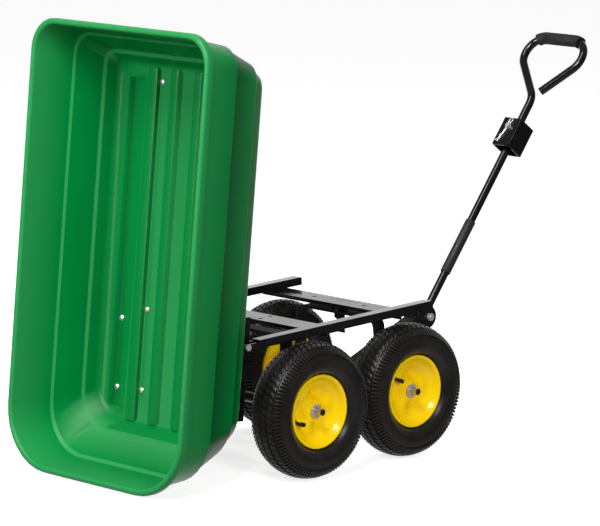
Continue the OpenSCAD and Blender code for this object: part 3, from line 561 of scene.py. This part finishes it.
def make_rim():
    dish = [(-0.0330, rim_radius - 0.0003), (-0.0352, rim_radius - 0.0008), (-0.0352, 0.0848),
            (-0.0330, 0.0815), (-0.0270, 0.0785), (-0.0205, 0.0745), (-0.0150, 0.0680), (-0.0098, 0.0600),
            (-0.0055, 0.0510), (-0.0024, 0.0425), (-0.0030, 0.0360), (-0.0085, 0.0300), (-0.0130, 0.0250),
            (-0.0150, 0.0200), (-0.0150, 0.0140)]
    back = [(-0.0148, 0.0690), (0.0050, 0.0700), (0.0120, 0.0745), (0.0180, 0.0775), (0.0285, 0.0778),
            (0.0330, 0.0815), (0.0352, 0.0848), (0.0352, rim_radius - 0.0008), (0.0330, rim_radius - 0.0003)]
    tube = [(-0.0188, 0.01255), (-0.0188, 0.0155), (-0.0180, 0.0160), (0.0412, 0.0160), (0.0420, 0.0155),
            (0.0420, 0.01255)]
    rim = spun_ring("rim", thick(eased(dish, corner_cuts), rim_sheet), rim_steps)
    press_swellings(rim)
    rim_back = spun_ring("rim_back", thick(eased(back, corner_cuts), rim_sheet), rim_steps)
    hub_tube = spun_ring("hub_tube", tube, tube_steps)
    bpy.ops.object.select_all(action="DESELECT")
    for shape in (rim, rim_back, hub_tube):
        shape.select_set(True)
    bpy.context.view_layer.objects.active = rim
    bpy.ops.object.join()
    bpy.ops.object.shade_smooth_by_angle(angle=radians(50))
    return rim


def yellow_paint():
    material, shader, place = start_finish("yellow_paint", IOR=1.45, Coat_Roughness=0.05)
    cloud = place.noise(14.0, detail=4.0)
    peel = place.noise(300.0, detail=2.0)
    colour = cloud.spread(0.3, 0.75).tint(yellow, deep_yellow)
    roughness = cloud.spread(0.3, 0.7, 0.22, 0.34)
    coat = cloud.spread(0.3, 0.7, 0.4, 0.25)
    end_finish(shader, colour, roughness, peel, 0.0001, Coat_Weight=coat)
    return material


rim = make_rim()
rim.data.materials.append(yellow_paint())
for corner in wheel_turns:
    piece = wheel_copy(rim, corner + "_dished_rim", corner, 0.0)
    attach(piece, corner + "_wheel")
    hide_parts(corner + "_rim")
bpy.data.objects.remove(rim)


# Small wheel fittings: rubber valve stems pulled through the rims, and nylon flanged bushes
# pressed into each end of the hub tubes.
stem_radius = 0.0047
stem_length = 0.034
stem_place = (0, -0.020, 0.058)
stem_round = 0.0006
front_lean = radians(22)
stem_cuts = (-0.009, 0.003, 0.0045)
foot_wide = 1.6
cap_wide = 1.12
neck_wide = 0.86
valve_degrees = {"left_rear": 40, "right_rear": 244.5, "left_front": 160, "right_front": -56}


def plain_rubber(name, shade, rough):
    material, shader, place = start_finish(name, IOR=1.48)
    bloom = place.noise(45.0, detail=4.0)
    grain = place.noise(1400.0, detail=2.0)
    colour = bloom.spread(0.3, 0.7).tint(grey(shade * 0.8), grey(shade * 1.3, 0.03))
    roughness = bloom.spread(0.3, 0.7, rough - 0.08, rough + 0.08)
    end_finish(shader, colour, roughness, grain, 0.0001)
    return material


def valve_stem(lean):
    """A stem that stands out of the dish at the top of a wheel, leaning in towards the hub."""
    bpy.ops.object.select_all(action="DESELECT")
    bpy.ops.mesh.primitive_cylinder_add(vertices=24, radius=stem_radius, depth=stem_length)
    stem = bpy.context.object
    bpy.ops.object.mode_set(mode="EDIT")
    for level in stem_cuts:
        bpy.ops.mesh.select_all(action="SELECT")
        bpy.ops.mesh.bisect(plane_co=(0, 0, level), plane_no=(0, 0, 1))
    bpy.ops.object.mode_set(mode="OBJECT")
    for vertex in stem.data.vertices:
        at_foot = vertex.co.z < -0.016
        on_cap = vertex.co.z > 0.004
        at_neck = 0.002 < vertex.co.z < 0.004
        if at_foot:
            vertex.co.xy *= foot_wide
        if on_cap:
            vertex.co.xy *= cap_wide
        if at_neck:
            vertex.co.xy *= neck_wide
    bpy.ops.object.mode_set(mode="EDIT")
    bpy.ops.mesh.select_all(action="SELECT")
    bpy.ops.mesh.bevel(offset=stem_round, segments=2, affect="EDGES", clamp_overlap=True)
    bpy.ops.object.mode_set(mode="OBJECT")
    bpy.ops.object.shade_smooth_by_angle(angle=radians(35))
    stem.data.transform(Matrix.Translation(stem_place) @ Matrix.Rotation(pi / 2 + lean, 4, "X"))
    return stem


valve_rubber = plain_rubber("valve_rubber", shade=0.008, rough=0.45)
bush_nylon = plain_rubber("bush_nylon", shade=0.03, rough=0.42)
dress([corner + "_bushes" for corner in wheel_turns], bush_nylon)
for corner, degrees in valve_degrees.items():
    stem = valve_stem(front_lean if "front" in corner else 0.0)
    stem.data.materials.append(valve_rubber)
    piece = wheel_copy(stem, corner + "_valve_stem", corner, radians(degrees))
    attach(piece, corner + "_wheel")
    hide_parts(corner + "_valve")
    bpy.data.objects.remove(stem)


# Pull handle: a drawn steel tube with a welded tow receiver and a bent loop, all gloss black,
# with a matt sleeve shrunk on the tube and a foam grip over the top of the loop.
receiver_round = 0.0012
sleeve_round = 0.0006
grip_round = 0.0012


def grip_foam():
    material, shader, place = start_finish("grip_foam", IOR=1.45)
    cell = place.make("ShaderNodeTexVoronoi", {}, {"Vector": place, "Scale": 900.0})
    worn = place.noise(50.0, detail=4.0)
    colour = worn.spread(0.35, 0.7).tint(grey(0.0045), grey(0.011, 0.03))
    roughness = worn.spread(0.3, 0.7, 0.62, 0.8)
    end_finish(shader, colour, roughness, cell, 0.0003)
    return material


handle_black = powder_coat("handle_black", rough=0.07)
sleeve_black = plain_rubber("sleeve_black", shade=0.014, rough=0.5)
dress(["pull_bar", "loop_handle"], handle_black)
dress(["tow_receiver"], handle_black, receiver_round)
dress(["bar_sleeve"], sleeve_black, sleeve_round)
dress(["grip"], grip_foam(), grip_round)


# Tow clip: a hairpin bent from zinc plated spring wire, with a ring at its head. The straight leg
# goes through the tow pin; the waved one springs round the outside of it.
wire_radius = 0.0015
leg_top = 0.0125
leg_end = -0.0500
leg_cuts = 42
bend_slack = 0.0001
ring_radius = 0.0052
ring_place = (0, 0.0040, 0.0158)
head_offset = 0.0198
clip_swing = radians(15)
bar_pitch = radians(54)
straight = [(leg_end, 0.0), (leg_top, 0.0)]
wave = [(leg_end, 0.0082), (-0.0400, 0.0024), (-0.0310, 0.0058), (-0.0220, 0.0022), (-0.0130, 0.0036),
        (0.0, 0.0080), (leg_top, 0.0080)]


def wire_leg(name, bends):
    """A leg along Z, cut into short lengths and set sideways to follow the bends."""
    bpy.ops.object.select_all(action="DESELECT")
    bpy.ops.mesh.primitive_cylinder_add(vertices=12, radius=wire_radius, depth=leg_top - leg_end)
    leg = bpy.context.object
    leg.name = name
    leg.data.transform(Matrix.Translation((0, 0, (leg_top + leg_end) / 2)))
    bpy.ops.object.mode_set(mode="EDIT")
    for k in range(1, leg_cuts):
        level = leg_end + (leg_top - leg_end) * k / leg_cuts
        bpy.ops.mesh.select_all(action="SELECT")
        bpy.ops.mesh.bisect(plane_co=(0, 0, level), plane_no=(0, 0, 1))
    bpy.ops.object.mode_set(mode="OBJECT")
    for vertex in leg.data.vertices:
        for (start, from_side), (end, to_side) in zip(bends, bends[1:]):
            if start - bend_slack <= vertex.co.z <= end + bend_slack:
                share = (vertex.co.z - start) / (end - start)
                vertex.co.y += from_side + (to_side - from_side) * (1 - cos(pi * share)) / 2
                break
    return leg


legs = [wire_leg("straight_leg", straight), wire_leg("waved_leg", wave)]
bpy.ops.object.select_all(action="DESELECT")
bpy.ops.mesh.primitive_torus_add(major_radius=ring_radius, minor_radius=wire_radius,
                                 major_segments=36, minor_segments=12)
clip = bpy.context.object
clip.name = "tow_hairpin"
clip.data.transform(Matrix.Translation(ring_place) @ Matrix.Rotation(pi / 2, 4, "Y"))
for leg in legs:
    leg.select_set(True)
bpy.ops.object.join()
bpy.ops.object.shade_smooth_by_angle(angle=radians(40))
bar_way = Vector((cos(bar_pitch), 0, sin(bar_pitch)))
pin_place = sum(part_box("tow_clip"), Vector()) / 2 + bar_way * head_offset
pin_place.y = 0
swing = Matrix.Rotation(pi / 2 - bar_pitch, 4, "Y") @ Matrix.Rotation(clip_swing, 4, "X")
clip.data.transform(Matrix.Translation(pin_place) @ swing)
clip.data.materials.append(bright_zinc)
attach(clip, "handle")
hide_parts("tow_clip")


# Latch: a bent steel lever on a pin, with a dipped plastic grip, hung from a bracket that is
# bolted below the front of the tub.
latch_plastic = plain_rubber("latch_plastic", shade=0.02, rough=0.4)
latch_grip_round = 0.002
dress(["latch_grip"], latch_plastic, latch_grip_round)


# Tub: one moulding in green polyethylene, with a rolled lip, two ledges round its walls and a
# ribbed floor. Its skin is semi-gloss with a fine grain. A paler green is painted on as sheen along the lip,
# the ledges and the rib sides, and a darker green is painted on as shade under the ledges and in the floor's
# two channels.
# Depths are measured from the rim down, with the tub turned level and its hinge at the origin.
tub_tilt = radians(85.5)
rim_level = 0.2515
front_round = 0.075
rear_round = 0.149
wall = 0.005
lip_depths = (0.0, 0.004, 0.020)
ledge_heads = (0.110, 0.192)
ledge_feet = (0.118, 0.199)
floor_edge = 0.224
rib_top = 0.0295
ring_slack = 0.0003
green = (0.0, 0.172, 0.033, 1.0)
deep_green = (0.0, 0.152, 0.028, 1.0)
scuffed_green = (0.01, 0.20, 0.06, 1.0)
# Painted sheen: a paler green laid on the lip, the ledges and the rib sides, where highlights fall.
painted_sheen_green = (0.03, 0.235, 0.072, 1.0)
# Painted shade: the darker green for the corners under the ledges and the floor's two channels.
shaded_green = (0.0, 0.035, 0.007, 1.0)


def tub_plastic():
    material, shader, place = start_finish("tub_plastic", IOR=1.27)
    flow = place.noise(3.5)
    grain = place.noise(1500.0, detail=2.0)
    scuff = place.noise(55.0, detail=6.0, rough=0.75).spread(0.6, 0.85)
    colour = flow.spread(0.35, 0.7).tint(green, deep_green)
    colour = (scuff * 0.25).tint(colour, scuffed_green)
    # Painted sheen: the paler green is mixed in where the tub's points are marked for highlights.
    painted_sheen = place.make("ShaderNodeAttribute", {"attribute_name": "painted_sheen"}, {}, out="Fac")
    colour = (painted_sheen * 0.75).tint(colour, painted_sheen_green)
    # Painted shade: a dark green mixed in at the corners under the ledges and in the floor's two channels.
    painted_shade = place.make("ShaderNodeAttribute", {"attribute_name": "painted_shade"}, {}, out="Fac")
    colour = (painted_shade * 0.7).tint(colour, shaded_green)
    roughness = flow.spread(0.3, 0.7, 0.30, 0.38) + scuff * 0.1
    end_finish(shader, colour, roughness, grain, 0.00012)
    return material


hinge = Vector(next(joint["pos_m"] for joint in frame["joints"] if joint["name"] == "tub_tip"))
tub_level = Matrix.Rotation(tub_tilt, 4, "Y") @ Matrix.Translation(-hinge)
tub = cad_copy("tub", "moulded_tub")
tub.data.transform(tub_level)
bpy.ops.object.mode_set(mode="EDIT")
bpy.ops.mesh.tris_convert_to_quads(face_threshold=radians(30), shape_threshold=radians(60))
bpy.ops.object.mode_set(mode="OBJECT")
tub_low = Vector([min(vertex.co[k] for vertex in tub.data.vertices) for k in range(3)])
tub_high = Vector([max(vertex.co[k] for vertex in tub.data.vertices) for k in range(3)])


def outward(point):
    """How far a point lies inside the tub's outline, and which way is out."""
    ahead = point.x > (tub_low.x + tub_high.x) / 2
    radius = front_round if ahead else rear_round
    core_x = min(max(point.x, tub_low.x + rear_round), tub_high.x - front_round)
    core_y = min(max(point.y, tub_low.y + radius), tub_high.y - radius)
    arm = Vector((point.x - core_x, point.y - core_y))
    return radius - arm.length, arm.normalized()


# The photograph shows a thinner lip, narrower ledges, a deeper step at the rear and closer ribs than
# the CAD tub has, so the copy's points are moved by these amounts.
lip_trim = 0.0055
lip_inset = 0.012
lip_reach = 0.0075
ledge_trim = 0.0022
rear_step = 0.009
ledge_slack = 0.0006
rib_slack = 0.0005
trimmed_rings = [foot + skin for foot in ledge_feet for skin in (0.0, wall)]
stepped_rings = [ledge_heads[1] + skin for skin in (0.0, wall)]
rib_moves = [(0.0, 0.0), (0.023, 0.019), (0.029, 0.029), (0.063, 0.054), (0.069, 0.064), (0.086, 0.086),
             (0.098, 0.098), (0.115, 0.1005), (0.121, 0.103), (0.155, 0.136), (0.161, 0.142), (0.172, 0.150),
             (0.182, 0.176), (0.186, 0.186), (0.198, 0.198), (0.240, 0.240)]


def moved_rib(across):
    """Where a point of the floor goes, that far from the tub's middle."""
    size = abs(across)
    for (start, to_start), (end, to_end) in zip(rib_moves, rib_moves[1:]):
        if start <= size < end:
            size = to_start + (to_end - to_start) * (size - start) / (end - start)
            break
    return size if across > 0 else -size


def near_any(depth, rings, slack):
    return any(abs(depth - ring) < slack for ring in rings)


for vertex in tub.data.vertices:
    place = vertex.co
    inset, way = outward(place)
    if place.z > rim_level - lip_reach and inset > lip_inset:
        place.x += way.x * lip_trim
        place.y += way.y * lip_trim
    depth = rim_level - place.z
    if near_any(depth, trimmed_rings, ledge_slack):
        place.x += way.x * ledge_trim
        place.y += way.y * ledge_trim
        place.z += ledge_trim
    if near_any(depth, stepped_rings, ledge_slack):
        place.x += min(way.x, 0) * rear_step
    if place.z < rib_top + rib_slack:
        place.y = moved_rib(place.y)


# The moulding's edges are rounded: tightly at the lip and the ledges, and more round the floor.
rib_round = 0.003
rib_long = 0.1
ledge_round = 0.0014
lip_round = 0.0011
inner_floor_round = 0.0045
outer_floor_round = 0.0040
ring_stray = 0.0025
inner_rings = [*ledge_heads, *(foot - ledge_trim for foot in ledge_feet)]
outer_rings = [ring + wall for ring in inner_rings]


def on_ring(*depths):
    """A test for edges that run round the tub at one of these depths below its rim."""
    def wanted(a, b):
        near = all(near_any(rim_level - end.z, depths, ring_slack) for end in (a, b))
        level = abs(a.z - b.z) < ring_slack
        return near and level and abs(outward(a)[0] - outward(b)[0]) < ring_stray
    return wanted


def on_rib_top(a, b):
    lengthwise = abs(a.x - b.x) > rib_long
    return lengthwise and max(abs(end.z - rib_top) for end in (a, b)) < ring_slack


ease_edges(tub, on_rib_top, rib_round, 2)
ease_edges(tub, on_ring(*inner_rings), ledge_round, 2)
ease_edges(tub, on_ring(floor_edge), inner_floor_round, 3)
ease_edges(tub, on_ring(*outer_rings), ledge_round, 2)
ease_edges(tub, on_ring(floor_edge + wall), outer_floor_round, 3)
ease_edges(tub, on_ring(*lip_depths), lip_round, 2)

# Two attributes go with the tub's points. One paints a paler green as sheen on the lip, the ledges and the
# rib sides. The other paints shade into the corners under the ledges and the floor's two channels, which lie
# in shade.
# Strengths of the painted sheen on the lip, the ledges and the rib sides.
lip_painted_sheen = 0.7
ledge_painted_sheen = 0.9
rib_painted_sheen = 0.5
corner_shade = 1.0
corner_above = 0.0005
ledge_above = 0.0015
ledge_below = 0.0010
channel_shade = 0.5
lip_deep = 0.0215
ribs_from = 0.212
ribs_half = 0.16
channel_from = 0.2405
channel_middle = 0.192
channel_half = 0.012


def on_step(depth, skin, above, below):
    """Whether a depth lies on a ledge of one skin, or a little above its head or below its foot."""
    return any(head + skin - above < depth < foot - ledge_trim + skin + below
               for head, foot in zip(ledge_heads, ledge_feet))


painted_sheen = tub.data.attributes.new("painted_sheen", "FLOAT", "POINT")
painted_shade = tub.data.attributes.new("painted_shade", "FLOAT", "POINT")
for vertex, sheen_mark, shade in zip(tub.data.vertices, painted_sheen.data, painted_shade.data):
    depth = rim_level - vertex.co.z
    across = abs(vertex.co.y)
    way = outward(vertex.co)[1]
    faces_out = vertex.normal.x * way.x + vertex.normal.y * way.y > 0.2
    faces_up = vertex.normal.z > 0.5
    faces_aside = abs(vertex.normal.y) > 0.35
    # Painted shade at the outer corners under the ledges and in the floor's two channels.
    if faces_out and on_step(depth, wall, corner_above, ledge_round):
        shade.value = corner_shade
    elif faces_up and depth > channel_from and abs(across - channel_middle) < channel_half:
        shade.value = channel_shade
    # Painted sheen on the ledges, the rib sides and the lip.
    if faces_up and on_step(depth, 0.0, ledge_above, ledge_below):
        sheen_mark.value = ledge_painted_sheen
    elif faces_aside and depth > ribs_from and across < ribs_half:
        sheen_mark.value = rib_painted_sheen
    elif depth < lip_deep:
        sheen_mark.value = lip_painted_sheen

tub.data.transform(tub_level.inverted())
bpy.ops.object.shade_smooth_by_angle(angle=radians(35))
tub.data.materials.clear()
tub.data.materials.append(tub_plastic())
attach(tub, "tub")
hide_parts("tub")
